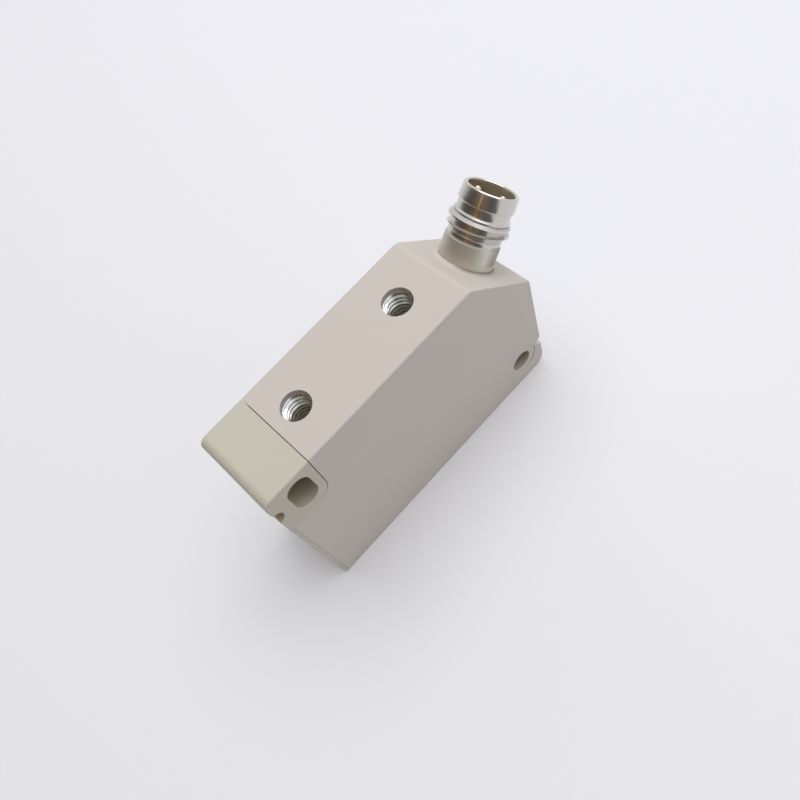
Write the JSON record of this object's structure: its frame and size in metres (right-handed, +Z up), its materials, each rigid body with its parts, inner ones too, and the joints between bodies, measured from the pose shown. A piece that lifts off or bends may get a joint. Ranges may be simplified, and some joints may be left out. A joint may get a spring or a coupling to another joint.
{
  "type": "inductive proximity sensor",
  "caption": "Flat block-shaped inductive proximity sensor: sensing end wall, slanted corner with an M8 plug, fixing hole and slot through its sides, threaded holes in its top.",
  "frame": {"origin": "centre of the flat base", "axes": "+X from the sensing face to the plug end, +Y across the block, +Z up to the face with the threaded holes"},
  "size_m": [0.0475, 0.0126, 0.034],
  "materials": {
    "housing_plastic": "fine moulded satin, warm grey-beige",
    "cap_plastic": "fine moulded satin, slightly yellower grey-beige",
    "insert_metal": "zinc-bright hexagonal steel bar",
    "plug_nickel": "bright nickel plating on turned brass",
    "seal_rubber": "nitrile, matt",
    "carrier_plastic": "dark glass-filled polyamide",
    "contact_gold": "thin gold plating on brass",
    "board_laminate": "green solder resist on glass epoxy",
    "chip_moulding": "black moulding compound",
    "chip_ceramic": "tan sintered ceramic with tinned ends",
    "bobbin_plastic": "natural liquid-crystal polymer",
    "ferrite": "ground soft ferrite, dark grey",
    "winding_copper": "enamelled copper",
    "potting_resin": "dark cast resin"
  },
  "bodies": {
    "root": {"housing": "housing_plastic", "front_cap": "cap_plastic", "thread_insert_front": "insert_metal", "thread_insert_rear": "insert_metal", "plug_shell": "plug_nickel", "plug_seal": "seal_rubber", "contact_carrier": "carrier_plastic", "contact_pin_supply": "contact_gold", "contact_pin_ground": "contact_gold", "contact_pin_output": "contact_gold", "circuit_board": "board_laminate", "oscillator_chip": "chip_moulding", "output_transistor": "chip_moulding", "supply_regulator": "chip_moulding", "reverse_diode": "chip_moulding", "surge_suppressor": "chip_moulding", "tuning_capacitor": "chip_ceramic", "filter_capacitor": "chip_ceramic", "load_resistor": "chip_ceramic", "trim_resistor": "chip_ceramic", "core_holder": "bobbin_plastic", "ferrite_core": "ferrite", "coil_bobbin": "bobbin_plastic", "coil_winding": "winding_copper", "coil_lead_start": "winding_copper", "coil_lead_end": "winding_copper", "potting": "potting_resin"}
  },
  "joints": []
}
